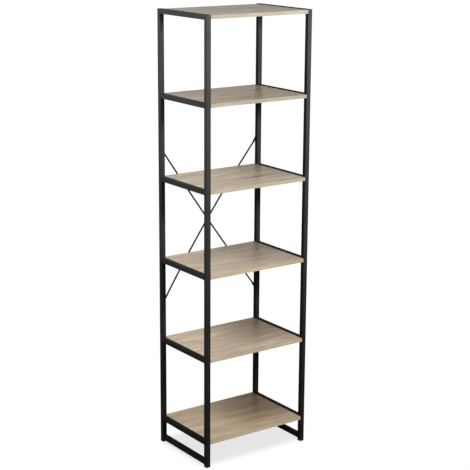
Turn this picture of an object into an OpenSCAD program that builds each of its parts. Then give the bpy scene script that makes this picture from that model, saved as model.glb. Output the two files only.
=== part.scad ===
// Open shelving unit: two welded side frames of square tube, six boards between them
// and a crossed pair of thin rods at the back. All sizes are in millimetres. The unit
// stands on z = 0 with its front towards -Y, and the origin is below its middle.

/* [Unit] */
// Height from the floor to the top of the side frames
unit_h = 1850; // [1600:10:2100]
// Width over the side frames
unit_w = 510; // [400:5:800]
// Depth of the side frames, front to back
unit_d = 352; // [280:2:450]
// Height of the lowest shelf rails' top faces above the floor
lowest_rail_h = 117.5; // [95:0.5:180]
// How much taller each bay is than the bay above it
bay_growth = 4; // [0:0.5:8]

/* [Square tube] */
// Outside width of the square tube
tube = 20; // [18:1:25]
// Wall thickness of the tube
tube_wall = 1.2; // [1:0.1:1.5]
// Outside corner radius of the tube
tube_corner = 2; // [1.6:0.1:3]
// Height of the floor stretchers' undersides above the floor
stretcher_h = 11; // [8:1:30]

/* [Boards] */
// Thickness of a board
board_t = 15; // [14:1:15]
// How far a board's top lies below the top of its rails
board_drop = 2; // [1:0.5:3]
// Clearance between a board's end and the side frame
board_gap = 0.5; // [0.2:0.1:1]
// Thickness of the band on a board's front and rear edges
edge_t = 1; // [0.5:0.1:2]

/* [Board lugs] */
// Thickness of the steel lugs under a board
lug_t = 3; // [2.5:0.5:4]
// How far a lug reaches in from its rail
lug_reach = 26; // [22:1:40]
// Length of a lug along its rail
lug_len = 30; // [20:1:50]
// Corner radius of a lug's free corners
lug_corner = 6; // [2:1:9]
// Distance from a post to the middle of the nearest lug
lug_inset = 50; // [35:1:80]
// Distance from the rail to the middle of a lug's screw hole
lug_hole_in = 14; // [10:1:16]

/* [Board screws] */
// Shank diameter of a board screw
screw_d = 3.8; // [3:0.1:4.5]
// How far a board screw reaches into its board
screw_bite = 10; // [8:0.5:12]
// Head diameter of a board screw
screw_head_d = 8; // [7:0.1:9]
// Head height of a board screw
screw_head_h = 2.4; // [2:0.1:3]
// Clearance all round a screw or bolt in its hole
hole_gap = 0.2; // [0.05:0.05:0.4]

/* [Back brace] */
// Diameter of a brace rod
rod_d = 7; // [5:0.5:8]
// How far the front rod bows back between its ends
front_rod_bow = 11.5; // [11:0.5:20]
// Clearance between the two rods where they cross
cross_gap = 0.2; // [0.1:0.1:1]
// Height of the upper brace bolts above the third shelf rails' tops
brace_above_third = 116.5; // [80:0.5:150]
// Height of the lower brace bolts above the fifth shelf rails' tops
brace_above_fifth = 138.5; // [100:0.5:180]
// Outside diameter of a rod's flattened eye
eye_d = 11; // [10:0.5:12]
// Thickness of a rod's flattened eye
eye_t = 2.5; // [2:0.5:3]
// How far the back of an eye lies in front of the back of its rod
eye_inset = 0.5; // [0.3:0.1:1]
// How far the forged shoulder at each end of a rod stands out all round
shoulder_step = 0.7; // [0.6:0.1:1.5]
// Length of a shoulder
shoulder_len = 7; // [6:0.5:10]

/* [Rivet nuts] */
// Diameter of a rivet nut's flange
nut_flange_d = 9; // [8.5:0.1:11]
// Thickness of a rivet nut's flange
nut_flange_t = 0.8; // [0.6:0.1:1.5]
// Diameter of a rivet nut's sleeve
nut_sleeve_d = 6; // [5.6:0.1:7]
// Length of a rivet nut inside the post
nut_len = 9; // [7:0.5:12]
// Diameter of the bulge that clamps a rivet nut to the post's wall
nut_bulge_d = 8; // [7.5:0.1:9]
// Length of the bulge
nut_bulge_len = 2.5; // [1.5:0.1:4]

/* [Brace bolts] */
// Shank diameter of a brace bolt
bolt_d = 4; // [3:0.5:4.5]
// Length of a brace bolt's shank
bolt_len = 12; // [9:0.5:13]
// Head diameter of a brace bolt
bolt_head_d = 8; // [6.5:0.1:9]
// Head height of a brace bolt
bolt_head_h = 2.2; // [1.6:0.1:4]

/* [Foot caps] */
// Height of a foot cap's visible flange
foot_h = 5; // [3:0.5:7]
// Bevel round the lower edge of a foot cap
foot_bevel = 1; // [0.5:0.1:1.5]
// Length of the ribbed plug inside the post
plug_len = 18; // [12:1:30]
// Number of ribs on the plug
rib_count = 3; // [2:1:4]
// Thickness of a rib
rib_t = 1.5; // [1:0.1:2]
// Clearance between the ribs and the inside of the post
rib_gap = 0.1; // [0.05:0.05:0.3]

/* [Hidden] */
SIDES = ["left", "right"];
ENDS = ["front", "rear"];
BOARD_COUNT = 6;

METAL = [0.16, 0.17, 0.18];
OAK = [0.64, 0.58, 0.50];
BAND = [0.78, 0.74, 0.66];
SCREW = [0.45, 0.45, 0.46];
BLACK = [0.06, 0.06, 0.06];

ROUND = 32;
BOW_STEPS = 1440;
CUT_SLACK = 1;

// The brace stands out behind the posts, and the origin is under the middle of it all.
// Its eyes lie on the rivet nuts' flanges, with the rods' ends a little further forward.
rear_rod_bow = front_rod_bow + rod_d + cross_gap;
eye_back = nut_flange_t + eye_t;
rod_end_back = eye_back + eye_inset - rod_d / 2;
back_reach = rod_end_back + rear_rod_bow + rod_d / 2;
front_y = -(unit_d + back_reach) / 2;
rear_y = front_y + unit_d;

inner_x = unit_w / 2 - tube;
tube_bore = tube - 2 * tube_wall;
bore_corner = max(tube_corner - tube_wall, 0.3);
tube_x = unit_w / 2 - tube / 2;

board_w = 2 * inner_x - 2 * board_gap;
mean_bay = (unit_h - lowest_rail_h) / (BOARD_COUNT - 1);
lug_hole_x = inner_x - lug_hole_in;

brace_top_z = rail_top(BOARD_COUNT / 2) + brace_above_third;
brace_low_z = rail_top(BOARD_COUNT - 1) + brace_above_fifth;
brace_slope = atan2(brace_top_z - brace_low_z, 2 * tube_x);
bolt_to_middle = norm([2 * tube_x, brace_top_z - brace_low_z]) / 2;
// The round shoulders of a rod stop short of the posts' inner faces
shoulder_d = rod_d + 2 * shoulder_step;
neck_len = (tube / 2 + hole_gap + shoulder_d / 2 * sin(brace_slope)) / cos(brace_slope);
half_chord = bolt_to_middle - neck_len - shoulder_len / 2;

// Height of the top face of rail number i, counted from the top shelf down
function rail_top(i) = unit_h - (i - 1) * (mean_bay + bay_growth * (i - 1 - (BOARD_COUNT - 1)) / 2);

// Side of the unit as a sign: left is negative, right is positive
function side_sign(s) = s == "left" ? -1 : 1;

// Middle of the lugs nearest the front posts (e = -1) or the rear posts (e = 1)
function lug_y(e) = e < 0 ? front_y + tube + lug_inset : rear_y - tube - lug_inset;

module rounded_square(width, corner) {
    flat = width - 2 * corner;
    square([width, flat], center = true);
    square([flat, width], center = true);
    for (sx = [-1, 1], sy = [-1, 1])
        translate([sx * flat / 2, sy * flat / 2])
            circle(r = corner, $fn = ROUND);
}

module tube_profile() {
    difference() {
        rounded_square(tube, tube_corner);
        rounded_square(tube_bore, bore_corner);
    }
}

// A square tube from y0 to y1, with its centre line at x and z
module tube_along_y(x, z, y0, y1) {
    translate([x, y0, z])
        rotate([-90, 0, 0])
            linear_extrude(y1 - y0)
                tube_profile();
}

// A slab as thick as the tube at x, with its outline given as [y, z] points
module side_slab(x, outline) {
    translate([x - tube / 2 - CUT_SLACK, 0, 0])
        rotate([90, 0, 90])
            linear_extrude(tube + 2 * CUT_SLACK)
                polygon(outline);
}

// A flat plate outline that starts at x = 0 and has its two far corners rounded
module lug_outline(reach, height, corner) {
    translate([0, -height / 2])
        square([reach - corner, height]);
    translate([0, -height / 2 + corner])
        square([reach, height - 2 * corner]);
    for (sy = [-1, 1])
        translate([reach - corner, sy * (height / 2 - corner)])
            circle(r = corner, $fn = ROUND);
}

// Post, cut to a mitre at the top where the top rail meets it. The rear posts have two
// holes in their rear walls for the rivet nuts.
module post(s, e) {
    x = side_sign(s) * tube_x;
    outer_y = e == "front" ? front_y : rear_y;
    inward = e == "front" ? tube : -tube;
    color(METAL)
        difference() {
            intersection() {
                translate([x, outer_y + inward / 2, foot_h])
                    linear_extrude(unit_h - foot_h)
                        tube_profile();
                side_slab(x, [
                    [outer_y, 0],
                    [outer_y + inward, 0],
                    [outer_y + inward, unit_h - tube],
                    [outer_y, unit_h]
                ]);
            }
            if (e == "rear")
                for (z = [brace_top_z, brace_low_z])
                    translate([x, rear_y - tube_wall - CUT_SLACK, z])
                        rotate([-90, 0, 0])
                            cylinder(
                                d = nut_sleeve_d + 2 * hole_gap,
                                h = tube_wall + 2 * CUT_SLACK,
                                $fn = ROUND
                            );
        }
}

// Side rail: the top one is mitred to the posts, the others stop at the posts' faces
module rail(s, i) {
    x = side_sign(s) * tube_x;
    z = rail_top(i) - tube / 2;
    color(METAL)
        if (i == 1)
            intersection() {
                tube_along_y(x, z, front_y, rear_y);
                side_slab(x, [
                    [front_y, unit_h],
                    [rear_y, unit_h],
                    [rear_y - tube, unit_h - tube],
                    [front_y + tube, unit_h - tube]
                ]);
            }
        else
            tube_along_y(x, z, front_y + tube, rear_y - tube);
}

module stretcher(s) {
    color(METAL)
        tube_along_y(side_sign(s) * tube_x, stretcher_h + tube / 2, front_y + tube, rear_y - tube);
}

// Calls its children at each of the four screw places of a board
module at_board_screws() {
    for (sx = [-1, 1], e = [-1, 1])
        translate([sx * lug_hole_x, lug_y(e), 0])
            children();
}

function board_under(i) = rail_top(i) - board_drop - board_t;

module board(i) {
    color(OAK)
        difference() {
            translate([-board_w / 2, front_y + edge_t, board_under(i)])
                cube([board_w, unit_d - 2 * edge_t, board_t]);
            at_board_screws()
                translate([0, 0, board_under(i) - CUT_SLACK])
                    cylinder(d = screw_d + 2 * hole_gap, h = screw_bite + 2 * CUT_SLACK, $fn = ROUND);
        }
}

module edge_bands(i) {
    color(BAND)
        for (y = [front_y, rear_y - edge_t])
            translate([-board_w / 2, y, board_under(i)])
                cube([board_w, edge_t, board_t]);
}

module board_lugs(i) {
    color(METAL)
        for (sx = [-1, 1], e = [-1, 1])
            translate([sx * inner_x, lug_y(e), board_under(i) - lug_t])
                mirror([sx > 0 ? 1 : 0, 0, 0])
                    linear_extrude(lug_t)
                        difference() {
                            lug_outline(lug_reach, lug_len, lug_corner);
                            translate([lug_hole_in, 0])
                                circle(d = screw_d + 2 * hole_gap, $fn = ROUND);
                        }
}

// A cross recess cut upwards from z = 0
module cross_recess() {
    slot_w = screw_head_d / 6;
    slot_len = screw_head_d / 2;
    depth = screw_head_h / 2;
    for (turn = [0, 90])
        rotate([0, 0, turn])
            translate([-slot_len / 2, -slot_w / 2, -CUT_SLACK])
                cube([slot_len, slot_w, depth + CUT_SLACK]);
}

module board_screws(i) {
    head_z = board_under(i) - lug_t - screw_head_h;
    color(SCREW)
        at_board_screws()
            translate([0, 0, head_z])
                difference() {
                    union() {
                        cylinder(d = screw_head_d, h = screw_head_h, $fn = ROUND);
                        cylinder(d = screw_d, h = screw_head_h + lug_t + screw_bite, $fn = ROUND);
                    }
                    cross_recess();
                }
}

// Flattened end of a rod: an eye round the bolt, with a neck that narrows to a shoulder
module rod_eye() {
    neck_root = neck_len + shoulder_len / 2;
    linear_extrude(eye_t)
        difference() {
            union() {
                circle(d = eye_d, $fn = ROUND);
                polygon([
                    [0, eye_d / 2],
                    [neck_root, rod_d / 2],
                    [neck_root, -rod_d / 2],
                    [0, -eye_d / 2]
                ]);
            }
            circle(d = bolt_d + 2 * hole_gap, $fn = ROUND);
        }
}

// Rod that rises to the right (lean = 1) or to the left (lean = -1). It is an arc that
// bows back between two forged ends, each with a shoulder and a flattened eye. It is
// drawn with its chord along x and then turned.
module brace_rod(lean, bow) {
    bow_radius = (half_chord * half_chord + bow * bow) / (2 * bow);
    half_arc = asin(half_chord / bow_radius);
    color(METAL)
        translate([0, rear_y, (brace_top_z + brace_low_z) / 2])
            rotate([0, -lean * brace_slope, 0]) {
                translate([0, rod_end_back + bow - bow_radius, 0])
                    rotate([0, 0, 90 - half_arc])
                        rotate_extrude(angle = 2 * half_arc, $fn = BOW_STEPS)
                            translate([bow_radius, 0])
                                circle(d = rod_d, $fn = ROUND);
                for (s = [-1, 1]) {
                    translate([s * half_chord, rod_end_back, 0])
                        rotate([0, 90, 0])
                            cylinder(d = shoulder_d, h = shoulder_len, center = true, $fn = ROUND);
                    translate([s * bolt_to_middle, eye_back, 0])
                        rotate([90, s > 0 ? 180 : 0, 0])
                            rod_eye();
                }
            }
}

// Calls its children at each of the four brace bolts, with z running to the back from
// the rear face of the post
module at_brace_bolts() {
    for (sx = [-1, 1], z = [brace_top_z, brace_low_z])
        translate([sx * tube_x, rear_y, z])
            rotate([-90, 0, 0])
                children();
}

module brace_bolts() {
    socket_flats = bolt_d * 0.6;
    color(BLACK)
        at_brace_bolts() {
            translate([0, 0, eye_back])
                difference() {
                    cylinder(d = bolt_head_d, h = bolt_head_h, $fn = ROUND);
                    translate([0, 0, bolt_head_h / 2])
                        cylinder(d = socket_flats / cos(30), h = bolt_head_h, $fn = 6);
                }
            translate([0, 0, eye_back - bolt_len])
                cylinder(d = bolt_d, h = bolt_len, $fn = ROUND);
        }
}

// Rivet nuts set in the rear walls of the rear posts, each clamped by its flange outside
// and its bulge inside
module rivet_nuts() {
    color(SCREW)
        at_brace_bolts()
            difference() {
                union() {
                    cylinder(d = nut_flange_d, h = nut_flange_t, $fn = ROUND);
                    translate([0, 0, -nut_len])
                        cylinder(d = nut_sleeve_d, h = nut_len, $fn = ROUND);
                    translate([0, 0, -tube_wall - nut_bulge_len])
                        cylinder(d = nut_bulge_d, h = nut_bulge_len, $fn = ROUND);
                }
                translate([0, 0, -nut_len - CUT_SLACK])
                    cylinder(
                        d = bolt_d + 2 * hole_gap,
                        h = nut_len + nut_flange_t + 2 * CUT_SLACK,
                        $fn = ROUND
                    );
            }
}

// Outline of a foot flange seen from the side: straight with its two lower corners bevelled
module bevelled_flange() {
    polygon([
        [-tube / 2 + foot_bevel, 0],
        [tube / 2 - foot_bevel, 0],
        [tube / 2, foot_bevel],
        [tube / 2, foot_h],
        [-tube / 2, foot_h],
        [-tube / 2, foot_bevel]
    ]);
}

module foot_cap(s, e) {
    plug_core = tube_bore / 2;
    rib_step = plug_len / rib_count;
    y = e == "front" ? front_y + tube / 2 : rear_y - tube / 2;
    color(BLACK)
        translate([side_sign(s) * tube_x, y, 0]) {
            intersection() {
                linear_extrude(foot_h)
                    rounded_square(tube, tube_corner);
                rotate([90, 0, 0])
                    linear_extrude(tube + 2 * CUT_SLACK, center = true)
                        bevelled_flange();
                rotate([90, 0, 90])
                    linear_extrude(tube + 2 * CUT_SLACK, center = true)
                        bevelled_flange();
            }
            translate([0, 0, foot_h])
                linear_extrude(plug_len)
                    square(plug_core, center = true);
            for (k = [1:rib_count])
                translate([0, 0, foot_h + k * rib_step - rib_t])
                    linear_extrude(rib_t)
                        rounded_square(tube_bore - 2 * rib_gap, bore_corner);
        }
}

for (s = SIDES, e = ENDS)
    post(s, e);
for (s = SIDES, i = [1:BOARD_COUNT])
    rail(s, i);
for (s = SIDES)
    stretcher(s);
for (i = [1:BOARD_COUNT]) {
    board(i);
    edge_bands(i);
    board_lugs(i);
    board_screws(i);
}
brace_rod(-1, front_rod_bow);  // brace_rod_front
brace_rod(1, rear_rod_bow);  // brace_rod_rear
brace_bolts();
rivet_nuts();
for (s = SIDES, e = ENDS)
    foot_cap(s, e);
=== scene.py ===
# Looks of a slim open shelving unit: powder coated square tube side frames, oak decor
# boards with edge bands, a crossed pair of thin rods at the back and flat foot caps.
# All lengths are in metres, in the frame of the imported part, with the front towards -Y.
import math

import bmesh
import bpy
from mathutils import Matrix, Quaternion, Vector


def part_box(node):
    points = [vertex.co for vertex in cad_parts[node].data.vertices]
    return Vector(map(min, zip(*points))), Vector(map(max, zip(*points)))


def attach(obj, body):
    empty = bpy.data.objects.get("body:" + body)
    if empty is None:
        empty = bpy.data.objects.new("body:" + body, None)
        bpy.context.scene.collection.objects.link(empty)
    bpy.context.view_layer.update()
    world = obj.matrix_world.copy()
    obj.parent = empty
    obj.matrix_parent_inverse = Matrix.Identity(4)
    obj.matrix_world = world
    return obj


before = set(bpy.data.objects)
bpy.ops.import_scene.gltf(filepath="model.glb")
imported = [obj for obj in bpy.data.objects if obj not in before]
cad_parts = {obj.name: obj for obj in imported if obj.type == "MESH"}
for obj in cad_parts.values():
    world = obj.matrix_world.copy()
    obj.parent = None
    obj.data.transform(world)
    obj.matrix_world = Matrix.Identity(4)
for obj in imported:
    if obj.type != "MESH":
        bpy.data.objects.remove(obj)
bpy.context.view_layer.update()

SIDES = ("left", "right")

# Camera. The last two are its sensor's width in millimetres and how far it sees.
CAMERA_PLACE = Vector((-3.09844, -4.35482, 2.28834))
CAMERA_TARGET = Vector((0.00036, -0.02153, 0.92085))
CAMERA_ROLL = 0.00623
CAMERA_LENS = 101.4
CAMERA_SENSOR = 36
CAMERA_REACH = 200

# Weld beads: radius, sides and step along the bead, the ripple's length and share of the
# radius, and how thick the ends stay and how late they narrow
BEAD_R = 0.0016
BEAD_SIDES = 10
BEAD_STEP = 0.0008
RIPPLE_LEN = 0.0013
RIPPLE_DEPTH = 0.07
BEAD_TIP = 0.02
BEAD_TAPER = 8
# Shares of the bead's radius by which a ring bead sits inside the tube's top and bottom, and by
# which a lug's bead is raised
RING_SINK = 0.4
LUG_BEAD_LIFT = 0.7
# How far a top corner's bead stays from the rail's sides
TOP_BEAD_INSET = 0.0025
# Angles in degrees of the points round one corner of a ring bead
CORNER_ANGLES = (0, 22.5, 45, 67.5, 90)
# Length of a board lug along its rail, and of the bead under it
LUG_LEN = 0.030
LUG_BEAD_LEN = 0.022

# Edges of the bands: radius, steps round it, and the distance under which corners are joined
BAND_EDGE_R = 0.0004
BAND_EDGE_STEPS = 3
BAND_JOIN = 0.00001

# From the top board down: colours of its face and of its bands, its place in the printed
# figure, and its knot's x, y and depth. The colours were fitted shelf by shelf to how each
# shelf is lit, so they hold painted light as well as the oak's own tone. The faces differ partly
# by painted shade, the second board darkest. The bands run from a paler, cooler painted
# highlight on the top board to warmer, darker painted shade on the lower ones.
BOARDS = [
    ((0.480, 0.400, 0.275), (0.545, 0.525, 0.44), 0.71, -0.10, 0.05, 0.5),
    ((0.455, 0.363, 0.244), (0.455, 0.425, 0.350), 1.42, 0.11, 0.03, 0.5),
    ((0.480, 0.390, 0.284), (0.475, 0.425, 0.325), 2.13, 0.062, -0.064, 1.0),
    ((0.525, 0.423, 0.318), (0.505, 0.425, 0.305), 2.84, 0.15, 0.05, 0.5),
    ((0.515, 0.413, 0.305), (0.515, 0.425, 0.305), 3.55, -0.06, -0.08, 0.15),
    ((0.510, 0.393, 0.270), (0.530, 0.420, 0.285), 5.13, 0.12, 0.06, 0.4),
]
BOARD_COUNT = len(BOARDS)

# A band shows another part of the figure than its board, and more faintly
BAND_CUT_STEP = 0.37
BAND_FIGURE = 0.45

# The oak figure's noises: how much finer along X, Y and Z, then detail, roughness, distortion,
# and the values at which the layer starts and is full
OAK_NOISES = {
    "Tone": ((2.2, 15.0, 31.0), 3.0, 0.55, 0.6, 0.36, 0.64),
    "Streak": ((5.0, 44.0, 31.0), 3.0, 0.5, 0.8, 0.4, 0.66),
    "Line": ((9.0, 300.0, 31.0), 3.0, 0.6, 0.4, 0.38, 0.66),
    "Pore": ((70.0, 1500.0, 300.0), 2.0, 0.6, 0.0, 0.6, 0.72),
    "Tint": ((3.1, 31.0, 17.0), 2.0, 0.5, 0.4, 0.4, 0.6),
}
# The knot: how much it is squeezed along X, Y and Z, how ragged the streaks make it, and where
# it starts and is full
KNOT_SQUEEZE = (7.0, 54.0, 40.0)
KNOT_RAGGED = 0.9
KNOT_RIM = 1.5
KNOT_HEART = 0.4
PORE_DEPTH = -0.6

# Oak colours against a board's ground colour: share of all three, then of green and of blue
OAK_PALE = (1.0, 1.0, 1.0)
OAK_GREY = (0.84, 1.03, 1.10)
OAK_BROWN = (0.60, 0.91, 0.80)
OAK_DARK = (0.28, 0.86, 0.74)
OAK_RUBBED = (1.15, 1.0, 1.0)
# The layers in the order they are printed in: strength and colour. Each board gives its
# knot's strength.
OAK_LAYERS = {
    "Tint": (0.9, OAK_GREY),
    "Tone": (0.5, OAK_BROWN),
    "Streak": (0.75, OAK_BROWN),
    "Line": (0.36, OAK_DARK),
    "Knot": (None, OAK_DARK),
    "Pore": (0.35, OAK_DARK),
}
OAK_RUB = 0.35
OAK_ROUGH = (0.32, 0.42)
OAK_BUMP = 0.00005
FACE_SPECULAR = 0.06
BAND_SPECULAR = 0.1

# Coats on steel: material, its two tones, the colour where it is rubbed, lowest and highest
# roughness, and specular level
COATS = {
    "frame": (
        "frame powder coat", (0.016, 0.0165, 0.016), (0.023, 0.0235, 0.023), (0.05, 0.052, 0.052),
        (0.38, 0.45), 0.003,
    ),
    "brace": (
        "rod powder coat", (0.004, 0.004, 0.004), (0.007, 0.007, 0.007), (0.03, 0.03, 0.03),
        (0.5, 0.58), 0.05,
    ),
    "brace_fastener": (
        "black bolt coat", (0.008, 0.008, 0.008), (0.014, 0.014, 0.014), (0.09, 0.09, 0.09),
        (0.34, 0.42), 0.3,
    ),
}
COAT_DRIFT = 0.7
COAT_SPECKLE = 0.3
COAT_RUB = 0.5
COAT_RUB_GLOSS = -0.08
COAT_DUST = 0.01
COAT_BUMP = 0.00006
DUST_COLOUR = (0.5, 0.48, 0.45)
SPECKLE_HEIGHT = 0.25

# Foot caps: specular level, how strongly edges are rubbed, roughness and bump
CAP_SPECULAR = 0.3
CAP_RUB = 0.4
CAP_ROUGH = (0.5, 0.68)
CAP_BUMP = 0.00004

# Zinc: roughness where it is dull and where it is clear, and bump
ZINC_ROUGH = (0.42, 0.28)
ZINC_BUMP = 0.00002

# Worn edges: the cosines between the face and the rounded edge at which wear starts and is
# full. Both masks: the noise values that start and fill a patch, and the mask's values there.
RUB_TURN = (0.97, 0.75)
RUB_PATCHES = (0.42, 0.6, 0.15, 1.0)
# Dust: how far a face looks up where dust starts to lie and where it lies fully
DUST_UP = (0.6, 0.95)
DUST_PATCHES = (0.35, 0.7, 0.3, 1.0)

# Light on the floor: the sun's width and tilt in degrees
FLOOR_LAMP_WIDTH = 32
FLOOR_LAMP_TILT = 12

# Key softboxes: their first and last board, their place and their power
KEY_LAMPS = [
    (1, 2, (-1.25, -0.55, 2.05), 33),
    (3, 4, (-1.25, -0.55, 2.05), 53),
    (5, 6, (-1.4, -0.6, 2.1), 80),
]
KEY_TARGET = (0, 0, 0.9)
KEY_WIDTH = 1.0
KEY_TONE = (0.87, 0.925, 1.0)

# The other softboxes: place, target, width, power, tone, the group of pieces lit, and spread
# in degrees
WIDE = 180
NARROW = 87
SOFTBOXES = {
    "room softbox": ((-0.2, -2.5, 2.0), (0, 0, 1.4), 1.0, 23, (1.0, 0.84, 0.54), "faces", WIDE),
    "edge softbox": ((0, -3.2, 1.0), (0, 0, 1.0), 1.0, 40, (1.0, 0.985, 0.97), "edges", WIDE),
    "front softbox": ((-0.2, -2.5, 2.0), (0, 0, 1.4), 1.0, 46, (1.0, 0.99, 0.95), "solid", WIDE),
    "steel front light": ((0, -2.2, 2.2), (0, 0, 2.2), 0.4, 48, (0.93, 0.98, 1.0), "fronts", NARROW),
    "steel left light": ((-2.2, 0, 2.2), (0, 0, 1.9), 0.4, 26, (0.94, 0.98, 1.0), "near", NARROW),
    "rear softbox": ((1.6, 2.4, 0.1), (0, 0, 1.0), 1.0, 45, (0.98, 0.99, 1.0), "solid", WIDE),
}


def place_camera():
    """Puts the camera where the unit was seen from, a little above it and to its left."""
    camera = bpy.data.objects.new("camera", bpy.data.cameras.new("camera"))
    bpy.context.scene.collection.objects.link(camera)
    camera.data.sensor_width = CAMERA_SENSOR
    camera.data.lens = CAMERA_LENS
    camera.data.clip_end = CAMERA_REACH
    aim = (CAMERA_TARGET - CAMERA_PLACE).to_track_quat("-Z", "Y")
    camera.rotation_mode = "QUATERNION"
    camera.location = CAMERA_PLACE
    camera.rotation_quaternion = aim @ Quaternion((0, 0, 1), CAMERA_ROLL)
    bpy.context.scene.camera = camera


# Small helpers that add shader nodes

def feed(tree, socket, value):
    """Wires another node's output into the socket, or writes a plain value on it."""
    if isinstance(value, bpy.types.NodeSocket):
        tree.links.new(value, socket)
    else:
        socket.default_value = value


def add_node(tree, kind, inputs, **settings):
    """A node of this kind with its settings, fed with the inputs given by name or place."""
    made = tree.nodes.new("ShaderNode" + kind)
    for name, value in settings.items():
        setattr(made, name, value)
    for name, value in inputs.items():
        feed(tree, made.inputs[name], value)
    return made


def sum_up(tree, operation, *values):
    """A Math node on one to three values."""
    return add_node(tree, "Math", dict(enumerate(values)), operation=operation).outputs[0]


def remap(tree, value, low, high, new_low, new_high):
    """Maps low to high on new_low to new_high, and stops at both ends."""
    names = ("Value", "From Min", "From Max", "To Min", "To Max")
    inputs = dict(zip(names, (value, low, high, new_low, new_high)))
    return add_node(tree, "MapRange", inputs).outputs[0]


def stretched(tree, place, factors):
    """The place with each coordinate multiplied, so that a texture on it is drawn out."""
    return add_node(tree, "Mapping", {"Vector": place, "Scale": factors}).outputs[0]


def noise(tree, place, scale, detail=2.0, roughness=0.5, distortion=0.0):
    sockets = {
        "Vector": place,
        "Scale": scale,
        "Detail": detail,
        "Roughness": roughness,
        "Distortion": distortion,
    }
    return add_node(tree, "TexNoise", sockets).outputs["Fac"]


def blend_colours(tree, factor, first, second):
    made = add_node(tree, "Mix", {0: factor}, data_type="RGBA")
    feed(tree, made.inputs[6], first)
    feed(tree, made.inputs[7], second)
    return made.outputs[2]


def opaque(colour):
    return (*colour, 1.0)


def start_group(name, inputs, outputs):
    """A shader node group with named sockets: inputs gives each input's kind and value."""
    group = bpy.data.node_groups.new(name, "ShaderNodeTree")
    for socket_name, (kind, value) in inputs.items():
        socket = group.interface.new_socket(socket_name, in_out="INPUT", socket_type=kind)
        if value is not None:
            socket.default_value = value
    for socket_name, kind in outputs.items():
        group.interface.new_socket(socket_name, in_out="OUTPUT", socket_type=kind)
    given = group.nodes.new("NodeGroupInput").outputs
    result = group.nodes.new("NodeGroupOutput").inputs
    return group, given, result


NUMBER = "NodeSocketFloat"


def coat_skin_group():
    """The skin of a sprayed or moulded surface: slow drift of tone, fine speckle, orange peel."""
    group, given, result = start_group(
        "coat skin",
        {
            "Drift Scale": (NUMBER, 7.0),
            "Peel Scale": (NUMBER, 700.0),
            "Speckle Scale": (NUMBER, 2600.0),
        },
        {"Drift": NUMBER, "Speckle": NUMBER, "Height": NUMBER},
    )
    place = add_node(group, "TexCoord", {}).outputs["Object"]
    drift = noise(group, place, given["Drift Scale"], 4.0, 0.6)
    speckle = noise(group, place, given["Speckle Scale"], 1.0)
    peel = noise(group, place, given["Peel Scale"], 2.0, 0.45)
    height = sum_up(group, "MULTIPLY_ADD", speckle, SPECKLE_HEIGHT, peel)
    feed(group, result["Drift"], remap(group, drift, 0.3, 0.7, 0.0, 1.0))
    feed(group, result["Speckle"], remap(group, speckle, 0.35, 0.65, 0.0, 1.0))
    feed(group, result["Height"], height)
    return group


def edge_rub_group():
    """Where handling has rubbed the edges: a mask that is 1 along worn edges and 0 elsewhere."""
    group, given, result = start_group(
        "edge rub",
        {"Reach": (NUMBER, 0.0008), "Patch Scale": (NUMBER, 60.0)},
        {"Mask": NUMBER},
    )
    place = add_node(group, "TexCoord", {}).outputs["Object"]
    face = add_node(group, "NewGeometry", {}).outputs["Normal"]
    rounded = add_node(group, "Bevel", {"Radius": given["Reach"]}, samples=4).outputs[0]
    facing = add_node(group, "VectorMath", {0: rounded, 1: face}, operation="DOT_PRODUCT")
    edge = remap(group, facing.outputs["Value"], *RUB_TURN, 0.0, 1.0)
    patches = noise(group, place, given["Patch Scale"], 5.0, 0.65)
    patchy = remap(group, patches, *RUB_PATCHES)
    feed(group, result["Mask"], sum_up(group, "MULTIPLY", edge, patchy))
    return group


def settled_dust_group():
    """Fine dust that lies on faces that look up, in uneven patches."""
    group, given, result = start_group(
        "settled dust",
        {"Patch Scale": (NUMBER, 35.0)},
        {"Mask": NUMBER},
    )
    place = add_node(group, "TexCoord", {}).outputs["Object"]
    face = add_node(group, "NewGeometry", {}).outputs["Normal"]
    up = add_node(group, "SeparateXYZ", {0: face}).outputs["Z"]
    level = remap(group, up, *DUST_UP, 0.0, 1.0)
    patches = noise(group, place, given["Patch Scale"], 4.0, 0.7)
    patchy = remap(group, patches, *DUST_PATCHES)
    feed(group, result["Mask"], sum_up(group, "MULTIPLY", level, patchy))
    return group


def oak_figure_group():
    """Printed oak figure that runs along X, with its own cut for each height of board."""
    group, given, result = start_group(
        "oak figure",
        {"Cut": (NUMBER, 0.0), "Knot": ("NodeSocketVector", (0.0, 0.0, -1.0))},
        {name: NUMBER for name in (*OAK_NOISES, "Knot", "Height")},
    )
    place = add_node(group, "TexCoord", {}).outputs["Object"]
    cut = add_node(group, "CombineXYZ", {"X": given["Cut"], "Y": 0.0, "Z": given["Cut"]}).outputs[0]
    moved = add_node(group, "VectorMath", {0: place, 1: cut}, operation="ADD").outputs[0]
    grain = {}
    for layer, (factors, detail, roughness, distortion, low, high) in OAK_NOISES.items():
        drawn = stretched(group, moved, factors)
        grain[layer] = noise(group, drawn, 1.0, detail, roughness, distortion)
        feed(group, result[layer], remap(group, grain[layer], low, high, 0.0, 1.0))
    knot = {0: place, 1: given["Knot"]}
    away = add_node(group, "VectorMath", knot, operation="SUBTRACT").outputs[0]
    squeezed = stretched(group, away, KNOT_SQUEEZE)
    reach = add_node(group, "VectorMath", {0: squeezed}, operation="LENGTH").outputs["Value"]
    ragged = sum_up(group, "MULTIPLY", grain["Streak"], KNOT_RAGGED)
    depth = sum_up(group, "ADD", reach, ragged)
    feed(group, result["Knot"], remap(group, depth, KNOT_RIM, KNOT_HEART, 0.0, 1.0))
    height = sum_up(group, "MULTIPLY_ADD", grain["Pore"], PORE_DEPTH, grain["Line"])
    feed(group, result["Height"], height)
    return group


coat_skin = coat_skin_group()
edge_rub = edge_rub_group()
settled_dust = settled_dust_group()
oak_figure = oak_figure_group()


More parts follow.
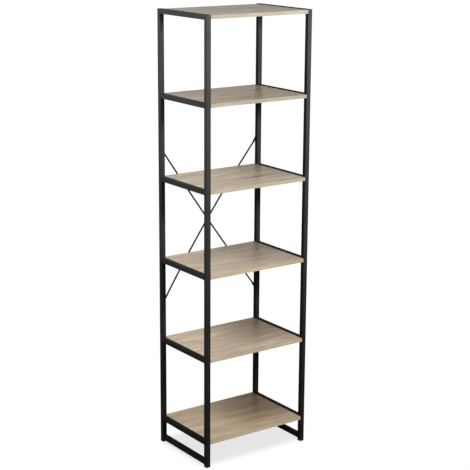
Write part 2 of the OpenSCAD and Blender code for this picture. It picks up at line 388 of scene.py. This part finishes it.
def place_group(tree, group, **values):
    """A copy of the group in a material, with its own values. An underscore stands for a space."""
    made = tree.nodes.new("ShaderNodeGroup")
    made.node_tree = group
    for name, value in values.items():
        feed(tree, made.inputs[name.replace("_", " ")], value)
    return made.outputs


def start_material(name, **sockets):
    """A material whose shader has these plain values. An underscore stands for a space."""
    material = bpy.data.materials.new(name)
    material.use_nodes = True
    tree = material.node_tree
    shader = tree.nodes["Principled BSDF"]
    for socket_name, value in sockets.items():
        shader.inputs[socket_name.replace("_", " ")].default_value = value
    return material, tree, shader.inputs


def bumped(tree, height, distance):
    inputs = {"Height": height, "Distance": distance, "Strength": 1.0}
    return add_node(tree, "Bump", inputs).outputs[0]


def coated_steel(name, dark, light, rubbed, rough, specular):
    """Satin coat on steel: two near tones, orange peel, rubbed edges and a little dust."""
    material, tree, shader = start_material(name, Specular_IOR_Level=specular)
    skin = place_group(tree, coat_skin)
    rub = place_group(tree, edge_rub)["Mask"]
    dust = place_group(tree, settled_dust)["Mask"]
    drift = sum_up(tree, "MULTIPLY", skin["Drift"], COAT_DRIFT)
    tone = sum_up(tree, "MULTIPLY_ADD", skin["Speckle"], COAT_SPECKLE, drift)
    coat = blend_colours(tree, tone, opaque(dark), opaque(light))
    worn = blend_colours(tree, sum_up(tree, "MULTIPLY", rub, COAT_RUB), coat, opaque(rubbed))
    dusted = sum_up(tree, "MULTIPLY", dust, COAT_DUST)
    feed(tree, shader["Base Color"], blend_colours(tree, dusted, worn, opaque(DUST_COLOUR)))
    even = remap(tree, tone, 0.0, 1.0, *rough)
    feed(tree, shader["Roughness"], sum_up(tree, "MULTIPLY_ADD", rub, COAT_RUB_GLOSS, even))
    feed(tree, shader["Normal"], bumped(tree, skin["Height"], COAT_BUMP))
    return material


def moulded_plastic():
    """Matt black plastic of the foot caps, with a fine spark-eroded grain."""
    material, tree, shader = start_material("foot cap plastic", Specular_IOR_Level=CAP_SPECULAR)
    skin = place_group(tree, coat_skin, Drift_Scale=30.0, Peel_Scale=2200.0, Speckle_Scale=6000.0)
    rub = place_group(tree, edge_rub, Reach=0.0006, Patch_Scale=150.0)["Mask"]
    dark, light, rubbed = (0.009, 0.009, 0.009), (0.016, 0.016, 0.015), (0.06, 0.06, 0.058)
    tone = blend_colours(tree, skin["Drift"], opaque(dark), opaque(light))
    worn = blend_colours(tree, sum_up(tree, "MULTIPLY", rub, CAP_RUB), tone, opaque(rubbed))
    feed(tree, shader["Base Color"], worn)
    feed(tree, shader["Roughness"], remap(tree, skin["Speckle"], 0.0, 1.0, *CAP_ROUGH))
    feed(tree, shader["Normal"], bumped(tree, skin["Height"], CAP_BUMP))
    return material


def zinc_plate():
    """Bright zinc on the board screws, with a cloudy passivated tone."""
    material, tree, shader = start_material("screw zinc", Metallic=1.0)
    skin = place_group(tree, coat_skin, Drift_Scale=420.0, Peel_Scale=1800.0, Speckle_Scale=7000.0)
    rub = place_group(tree, edge_rub, Reach=0.0003, Patch_Scale=500.0)["Mask"]
    dull, clear, bright = (0.42, 0.42, 0.41), (0.6, 0.6, 0.61), (0.78, 0.78, 0.77)
    cloudy = blend_colours(tree, skin["Drift"], opaque(dull), opaque(clear))
    feed(tree, shader["Base Color"], blend_colours(tree, rub, cloudy, opaque(bright)))
    feed(tree, shader["Roughness"], remap(tree, skin["Drift"], 0.0, 1.0, *ZINC_ROUGH))
    feed(tree, shader["Normal"], bumped(tree, skin["Height"], ZINC_BUMP))
    return material


def oak_decor(name, ground, cut, knot, knot_depth, figured, specular):
    """Satin oak decor: pale ground, greyer zones, brown streaks and lines, pores and one knot.

    figured is how strongly the figure shows.
    """

    # The ground colour given here is the board's oak ground with the painted light and shade of its
    # shelf in it.
    def shade(share, greener, bluer):
        red, green, blue = ground
        return (red * share, green * share * greener, blue * share * bluer, 1.0)

    material, tree, shader = start_material(name, Specular_IOR_Level=specular)
    figure = place_group(tree, oak_figure, Cut=cut, Knot=knot)
    rub = place_group(tree, edge_rub, Reach=0.0006, Patch_Scale=120.0)["Mask"]
    colour = shade(*OAK_PALE)
    for layer, (strength, tint) in OAK_LAYERS.items():
        share = (knot_depth if layer == "Knot" else strength) * figured
        mask = sum_up(tree, "MULTIPLY", figure[layer], share)
        colour = blend_colours(tree, mask, colour, shade(*tint))
    rubbed = sum_up(tree, "MULTIPLY", rub, OAK_RUB)
    feed(tree, shader["Base Color"], blend_colours(tree, rubbed, colour, shade(*OAK_RUBBED)))
    feed(tree, shader["Roughness"], remap(tree, figure["Streak"], 0.0, 1.0, *OAK_ROUGH))
    feed(tree, shader["Normal"], bumped(tree, figure["Height"], OAK_BUMP))
    return material


finishes = {slot: coated_steel(*coat) for slot, coat in COATS.items()}
finishes["foot_cap"] = moulded_plastic()
finishes["fastener"] = zinc_plate()
# Each board and band is its own copy of the oak, with its colour from BOARDS, so part of the
# difference between shelves is painted light and shade.
for i, (face, band, cut, knot_x, knot_y, depth) in enumerate(BOARDS, 1):
    knot = Vector((knot_x, knot_y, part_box(f"board_{i}")[1].z))
    finishes[f"board_{i}"] = oak_decor(
        f"oak board {i}", face, cut, knot, depth, 1.0, FACE_SPECULAR)
    band_cut = cut + BAND_CUT_STEP
    finishes[f"edge_bands_{i}"] = oak_decor(
        f"oak edge band {i}", band, band_cut, knot, depth, BAND_FIGURE, BAND_SPECULAR)


def finish_nodes():
    """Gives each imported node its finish, and softens the bands' sharp edges."""
    for name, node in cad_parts.items():
        for place in node.material_slots:
            place.material = finishes.get(name) or finishes[place.material.name.split(".")[0]]
        if name.startswith("edge_bands"):
            node.modifiers.new("joined corners", "WELD").merge_threshold = BAND_JOIN
            eased = node.modifiers.new("eased edges", "BEVEL")
            eased.width = BAND_EDGE_R
            eased.segments = BAND_EDGE_STEPS
            eased.limit_method = "ANGLE"


# Weld beads

def sweep_bead(mesh, path, across, closed):
    """Adds a rippled round bead along the path. across holds two unit vectors per point."""
    rings = []
    length = 0.0
    for n, point in enumerate(path):
        if n:
            length += (point - path[n - 1]).length
        ripple = 0.5 - 0.5 * math.cos(2 * math.pi * length / RIPPLE_LEN)
        radius = BEAD_R * (1 - RIPPLE_DEPTH * ripple)
        if not closed:
            along = n / (len(path) - 1)
            radius *= math.sqrt(max(0.0, 1 - abs(2 * along - 1) ** BEAD_TAPER)) + BEAD_TIP
        first, second = across[n]
        ring = []
        for k in range(BEAD_SIDES):
            turn = 2 * math.pi * k / BEAD_SIDES
            out = math.cos(turn) * first + math.sin(turn) * second
            ring.append(mesh.verts.new(point + radius * out))
        rings.append(ring)
    pairs = list(zip(rings, rings[1:]))
    if closed:
        pairs.append((rings[-1], rings[0]))
    else:
        mesh.faces.new(rings[0])
        mesh.faces.new(list(reversed(rings[-1])))
    for one, other in pairs:
        for k in range(BEAD_SIDES):
            after = (k + 1) % BEAD_SIDES
            mesh.faces.new((one[k], other[k], other[after], one[after]))


def straight_bead(mesh, start, end):
    """A bead from start to end, with rounded ends."""
    count = max(4, round((end - start).length / BEAD_STEP))
    path = [start.lerp(end, n / count) for n in range(count + 1)]
    along = (end - start).normalized()
    first = along.orthogonal().normalized()
    sweep_bead(mesh, path, [(first, along.cross(first))] * len(path), closed=False)


def ring_bead(mesh, centre, half_x, half_z, corner):
    """A bead round the end of a tube, as a rounded rectangle in the plane y = centre.y."""
    corners = []
    for turn, sx, sz in ((0, 1, 1), (90, -1, 1), (180, -1, -1), (270, 1, -1)):
        middle = Vector((sx * (half_x - corner), 0, sz * (half_z - corner)))
        corners += [
            (middle + corner * direction, direction)
            for direction in (
                Vector((math.cos(math.radians(turn + a)), 0, math.sin(math.radians(turn + a))))
                for a in CORNER_ANGLES
            )
        ]
    path, across = [], []
    for (point, out), (next_point, next_out) in zip(corners, corners[1:] + corners[:1]):
        count = max(1, round((next_point - point).length / BEAD_STEP))
        for n in range(count):
            path.append(centre + point.lerp(next_point, n / count))
            across.append((out.lerp(next_out, n / count).normalized(), Vector((0, 1, 0))))
    sweep_bead(mesh, path, across, closed=True)


def weld_piece(name, mesh):
    """Turns the beads into one piece that rides with the unit."""
    bmesh.ops.recalc_face_normals(mesh, faces=mesh.faces[:])
    data = bpy.data.meshes.new(name)
    mesh.to_mesh(data)
    mesh.free()
    data.shade_smooth()
    data.materials.append(finishes["frame"])
    piece = bpy.data.objects.new(name, data)
    bpy.context.scene.collection.objects.link(piece)
    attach(piece, "root")


def weld_tube_ends(tube_name):
    """A flush bead round both ends of a side rail or stretcher, a little proud above and below."""
    low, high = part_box(tube_name)
    middle = (low + high) / 2
    mesh = bmesh.new()
    half = (high.x - low.x) / 2
    for y in (low.y, high.y):
        centre = Vector((middle.x, y, middle.z))
        ring_bead(mesh, centre, half - BEAD_R, half - BEAD_R * RING_SINK, BEAD_R)
    weld_piece("welds_" + tube_name, mesh)


def weld_top_corners(side):
    """Straight beads in the two inner corners under a top side rail."""
    low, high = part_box(f"rail_{side}_1")
    tube = high.x - low.x
    mesh = bmesh.new()
    for y in (low.y + tube, high.y - tube):
        start = Vector((low.x + TOP_BEAD_INSET, y, low.z))
        straight_bead(mesh, start, Vector((high.x - TOP_BEAD_INSET, y, low.z)))
    weld_piece(f"welds_rail_{side}_1", mesh)


def weld_board_lugs(i):
    """A bead under each board lug, along the rail that carries it."""
    low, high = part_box(f"board_lugs_{i}")
    mesh = bmesh.new()
    for x in (low.x, high.x):
        for y in (low.y + LUG_LEN / 2, high.y - LUG_LEN / 2):
            place = Vector((x, y, low.z + BEAD_R * LUG_BEAD_LIFT))
            reach = Vector((0, LUG_BEAD_LEN / 2, 0))
            straight_bead(mesh, place - reach, place + reach)
    weld_piece(f"welds_board_lugs_{i}", mesh)


def weld_unit():
    for side in SIDES:
        weld_top_corners(side)
        weld_tube_ends(f"stretcher_{side}")
        for i in range(2, BOARD_COUNT + 1):
            weld_tube_ends(f"rail_{side}_{i}")
    for i in range(1, BOARD_COUNT + 1):
        weld_board_lugs(i)


# Studio: radius, sides and grey of the floor, how bright it looks to the camera and how strong
# its own light is, and the tone and level of the dome that lights the unit

FLOOR_R = 40.0
FLOOR_SIDES = 64
FLOOR_TONE = 0.3
FLOOR_GLOW = 0.77
FLOOR_LAMP_LEVEL = 2.1
DOME_TONE = (1.0, 0.93, 0.82)
DOME_LEVEL = 0.2


def seen_directly(tree):
    """1 for camera, glossy and transmission rays, which see the white background."""
    path = add_node(tree, "LightPath", {}).outputs
    mirrored = sum_up(tree, "MAXIMUM", path["Is Glossy Ray"], path["Is Transmission Ray"])
    return sum_up(tree, "MAXIMUM", path["Is Camera Ray"], mirrored)


def lay_floor():
    """A wide pale floor that looks white and keeps the unit's soft shadow."""
    material = bpy.data.materials.new("studio floor")
    material.use_nodes = True
    tree = material.node_tree
    tree.nodes.clear()
    paint = add_node(tree, "BsdfDiffuse", {"Color": opaque((FLOOR_TONE,) * 3)}).outputs[0]
    glow_level = sum_up(tree, "MULTIPLY", seen_directly(tree), FLOOR_GLOW)
    glow = add_node(tree, "Emission", {"Strength": glow_level}).outputs[0]
    both = add_node(tree, "AddShader", {0: paint, 1: glow}).outputs[0]
    add_node(tree, "OutputMaterial", {"Surface": both})
    mesh = bmesh.new()
    bmesh.ops.create_circle(mesh, cap_ends=True, segments=FLOOR_SIDES, radius=FLOOR_R)
    data = bpy.data.meshes.new("studio_floor")
    mesh.to_mesh(data)
    mesh.free()
    data.materials.append(material)
    floor = bpy.data.objects.new("studio_floor", data)
    bpy.context.scene.collection.objects.link(floor)
    return floor


def light_world():
    world = bpy.data.worlds.new("studio")
    bpy.context.scene.world = world
    world.use_nodes = True
    tree = world.node_tree
    tree.nodes.clear()
    dome = add_node(tree, "Background", {"Color": opaque(DOME_TONE), "Strength": DOME_LEVEL})
    white = add_node(tree, "Background", {"Color": opaque((1, 1, 1)), "Strength": 1.0})
    inputs = {0: seen_directly(tree), 1: dome.outputs[0], 2: white.outputs[0]}
    mixed = add_node(tree, "MixShader", inputs).outputs[0]
    add_node(tree, "OutputWorld", {"Surface": mixed})


def light_group(name, members, state):
    """A group for lamps: its members alone (INCLUDE), or everything else (EXCLUDE)."""
    group = bpy.data.collections.new(name)
    for member in members:
        group.objects.link(member)
    for entry in group.collection_objects:
        entry.light_linking.link_state = state
    return group


def light_floor(floor):
    """A broad sun on the floor alone, which only the unit's lowest parts block."""
    lamp = bpy.data.lights.new("overhead light", "SUN")
    lamp.energy = FLOOR_LAMP_LEVEL
    lamp.angle = math.radians(FLOOR_LAMP_WIDTH)
    holder = bpy.data.objects.new("overhead light", lamp)
    bpy.context.scene.collection.objects.link(holder)
    holder.rotation_euler.x = math.radians(FLOOR_LAMP_TILT)
    low_names = [f"board_{BOARD_COUNT}", f"edge_bands_{BOARD_COUNT}"]
    for side in SIDES:
        low_names += [f"rail_{side}_{BOARD_COUNT}", f"stretcher_{side}"]
        low_names += [f"foot_cap_{side}_front", f"foot_cap_{side}_rear"]
    low_parts = [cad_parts[name] for name in low_names]
    holder.light_linking.receiver_collection = light_group("lit from overhead", [floor], "INCLUDE")
    holder.light_linking.blocker_collection = light_group("low parts", low_parts, "INCLUDE")


def add_softbox(name, place, target, width, power, tone, lit, spread, blockers=None):
    """A square studio lamp at place that faces target and lights one group of objects.

    Only the blockers, where given, throw shadows in its light. Gloss doesn't mirror it.
    """
    lamp = bpy.data.lights.new(name, "AREA")
    lamp.size = width
    lamp.energy = power
    lamp.color = tone
    lamp.spread = math.radians(spread)
    holder = bpy.data.objects.new(name, lamp)
    bpy.context.scene.collection.objects.link(holder)
    holder.visible_camera = False
    holder.visible_glossy = False
    holder.location = place
    holder.rotation_euler = (Vector(target) - Vector(place)).to_track_quat("-Z", "Y").to_euler()
    holder.light_linking.receiver_collection = lit
    if blockers:
        holder.light_linking.blocker_collection = blockers


def light_studio(floor):
    """Softboxes on groups of pieces: board faces, board edges, steel, or all but the faces.

    The floor has a light of its own.
    """
    light_world()
    light_floor(floor)
    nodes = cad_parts
    boards = [nodes[f"board_{i}"] for i in range(1, BOARD_COUNT + 1)]
    bands = [nodes[f"edge_bands_{i}"] for i in range(1, BOARD_COUNT + 1)]
    right_rails = [nodes[f"rail_right_{i}"] for i in range(1, BOARD_COUNT + 1)]
    right_posts = [nodes["post_right_front"], nodes["post_right_rear"]]
    unlit = [floor] + boards
    but_steel = unlit + bands + right_rails
    groups = {
        "solid": light_group("all but the board faces", unlit, "EXCLUDE"),
        "faces": light_group("board faces", boards, "INCLUDE"),
        "edges": light_group("board edges", bands, "INCLUDE"),
        "fronts": light_group("steel but the right rails", but_steel, "EXCLUDE"),
        "near": light_group("left steel", but_steel + right_posts, "EXCLUDE"),
    }
    for first, last, place, power in KEY_LAMPS:
        lit = light_group(f"faces {first} to {last}", boards[first - 1:last], "INCLUDE")
        name = f"key softbox {first} to {last}"
        add_softbox(
            name, place, KEY_TARGET, KEY_WIDTH, power, KEY_TONE, lit, WIDE, groups["faces"])
    for name, (place, target, width, power, tone, group, spread) in SOFTBOXES.items():
        add_softbox(name, place, target, width, power, tone, groups[group], spread)


place_camera()
finish_nodes()
weld_unit()
light_studio(lay_floor())
bpy.context.scene.view_settings.view_transform = "Standard"
